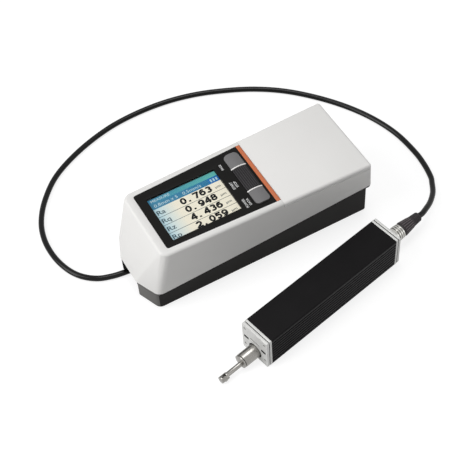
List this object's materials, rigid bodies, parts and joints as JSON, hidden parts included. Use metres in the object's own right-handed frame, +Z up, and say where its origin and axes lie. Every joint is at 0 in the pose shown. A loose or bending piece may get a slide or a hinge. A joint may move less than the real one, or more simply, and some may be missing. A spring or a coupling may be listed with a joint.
{
  "type": "surface roughness tester",
  "caption": "Portable surface roughness tester: display unit with screen, key bar and sliding key cover, and a motor drive unit with skidded detector on a lead.",
  "frame": {"origin": "on the table plane, on the centre line of the display unit's drive bay", "axes": "+X to the rear of the display unit, +Y to its side away from the drive unit, +Z up"},
  "size_m": [0.2623, 0.2377, 0.0531],
  "materials": {
    "white_plastic": "fine matte moulded plastic",
    "black_plastic": "fine matte moulded plastic",
    "bezel_black": "smooth semi-gloss black",
    "window": "clear window",
    "screen": "colour screen",
    "orange_plastic": "satin orange",
    "grey_key": "satin grey",
    "dark_key": "fine ribbed dark grey",
    "white_trim": "satin white",
    "keypad_grey": "soft matte grey",
    "keypad_orange": "soft matte orange",
    "plate_dark": "matte dark grey",
    "circuit_board": "green solder mask",
    "battery_wrap": "shrink wrap",
    "steel": "satin ground steel",
    "plate_metal": "satin bead-blasted",
    "case_metal": "black anodised extrusion",
    "coil": "enamelled copper wire",
    "gear_brass": "turned brass",
    "rubber_black": "matte black rubber",
    "cord_black": "smooth black jacket"
  },
  "bodies": {
    "tester": {"top_cover": "white_plastic", "base": "black_plastic", "bezel": "bezel_black", "screen_window": "window", "screen_module": "screen", "trim_strip": "orange_plastic", "key_dividers": "white_trim", "key_board": "circuit_board", "keypad_plate": "plate_dark", "main_board": "circuit_board", "battery_pack": "battery_wrap", "battery_door": "black_plastic", "case_screws": "steel", "power_jack": "black_plastic", "data_port": "black_plastic", "bay_socket": "steel", "cord": "cord_black", "plug_ring": "plate_metal", "plug_boot": "rubber_black", "bay_plug_ring": "plate_metal", "bay_plug_boot": "rubber_black", "drive_case": "case_metal", "front_flange": "plate_metal", "front_plate": "plate_metal", "rear_flange": "plate_metal", "rear_plate": "plate_metal", "plate_screws": "steel", "drive_socket": "steel", "detector_bush": "rubber_black", "guide_rods": "steel", "motor_mount": "plate_metal", "gearbox": "gear_brass", "motor": "steel", "drive_board": "circuit_board"},
    "sliding_cover": {"key_cover": "white_plastic", "slide_runners": "black_plastic"},
    "upper_key": {"upper_key": "grey_key"},
    "middle_key": {"middle_key": "dark_key"},
    "lower_key": {"lower_key": "grey_key"},
    "detector": {"carriage": "plate_metal", "detector_tube": "steel", "detector_nose": "steel", "sensor_coil": "coil", "pivot_pin": "steel"},
    "stylus": {"stylus": "steel"},
    "lead_screw": {"lead_screw": "steel"},
    "cursor_up_key": {"cursor_up_key": "keypad_grey"},
    "cursor_down_key": {"cursor_down_key": "keypad_grey"},
    "cursor_left_key": {"cursor_left_key": "keypad_grey"},
    "cursor_right_key": {"cursor_right_key": "keypad_grey"},
    "enter_key": {"enter_key": "keypad_orange"},
    "menu_key": {"menu_key": "keypad_grey"},
    "page_key": {"page_key": "keypad_grey"},
    "escape_key": {"escape_key": "keypad_grey"}
  },
  "joints": [
    {"name": "cover_slide", "type": "slide", "parent": "tester", "child": "sliding_cover", "axis": [1, 0, 0], "range_m": [0, 0.046]},
    {"name": "upper_key_press", "type": "slide", "parent": "tester", "child": "upper_key", "axis": [0, 0, -1], "range_m": [0, 0.0007], "stiffness_N_per_m": 1500},
    {"name": "middle_key_press", "type": "slide", "parent": "tester", "child": "middle_key", "axis": [0, 0, -1], "range_m": [0, 0.0007], "stiffness_N_per_m": 1500},
    {"name": "lower_key_press", "type": "slide", "parent": "tester", "child": "lower_key", "axis": [0, 0, -1], "range_m": [0, 0.0007], "stiffness_N_per_m": 1500},
    {"name": "cursor_up_key_press", "type": "slide", "parent": "tester", "child": "cursor_up_key", "axis": [0, 0, -1], "range_m": [0, 0.0004], "stiffness_N_per_m": 1500},
    {"name": "cursor_down_key_press", "type": "slide", "parent": "tester", "child": "cursor_down_key", "axis": [0, 0, -1], "range_m": [0, 0.0004], "stiffness_N_per_m": 1500},
    {"name": "cursor_left_key_press", "type": "slide", "parent": "tester", "child": "cursor_left_key", "axis": [0, 0, -1], "range_m": [0, 0.0004], "stiffness_N_per_m": 1500},
    {"name": "cursor_right_key_press", "type": "slide", "parent": "tester", "child": "cursor_right_key", "axis": [0, 0, -1], "range_m": [0, 0.0004], "stiffness_N_per_m": 1500},
    {"name": "enter_key_press", "type": "slide", "parent": "tester", "child": "enter_key", "axis": [0, 0, -1], "range_m": [0, 0.0004], "stiffness_N_per_m": 1500},
    {"name": "menu_key_press", "type": "slide", "parent": "tester", "child": "menu_key", "axis": [0, 0, -1], "range_m": [0, 0.0004], "stiffness_N_per_m": 1500},
    {"name": "page_key_press", "type": "slide", "parent": "tester", "child": "page_key", "axis": [0, 0, -1], "range_m": [0, 0.0004], "stiffness_N_per_m": 1500},
    {"name": "escape_key_press", "type": "slide", "parent": "tester", "child": "escape_key", "axis": [0, 0, -1], "range_m": [0, 0.0004], "stiffness_N_per_m": 1500},
    {"name": "detector_traverse", "type": "slide", "parent": "tester", "child": "detector", "axis": [0.9759, 0.2181, 0], "range_m": [0, 0.0175]},
    {"name": "lead_screw_turn", "type": "hinge", "parent": "tester", "child": "lead_screw", "pos_m": [-0.00972, -0.08396, 0.015], "axis": [0.9759, 0.2181, 0], "range_deg": [0, 2520]},
    {"name": "stylus_swing", "type": "hinge", "parent": "detector", "child": "stylus", "pos_m": [-0.05081, -0.09314, 0.0046], "axis": [-0.2181, 0.9759, 0], "range_deg": [-0.5, 0.5], "stiffness_Nm_per_rad": 0.02}
  ],
  "couplings": [
    {"joint": "lead_screw_turn", "follows": "detector_traverse", "rad_per_m": 2513.3}
  ]
}
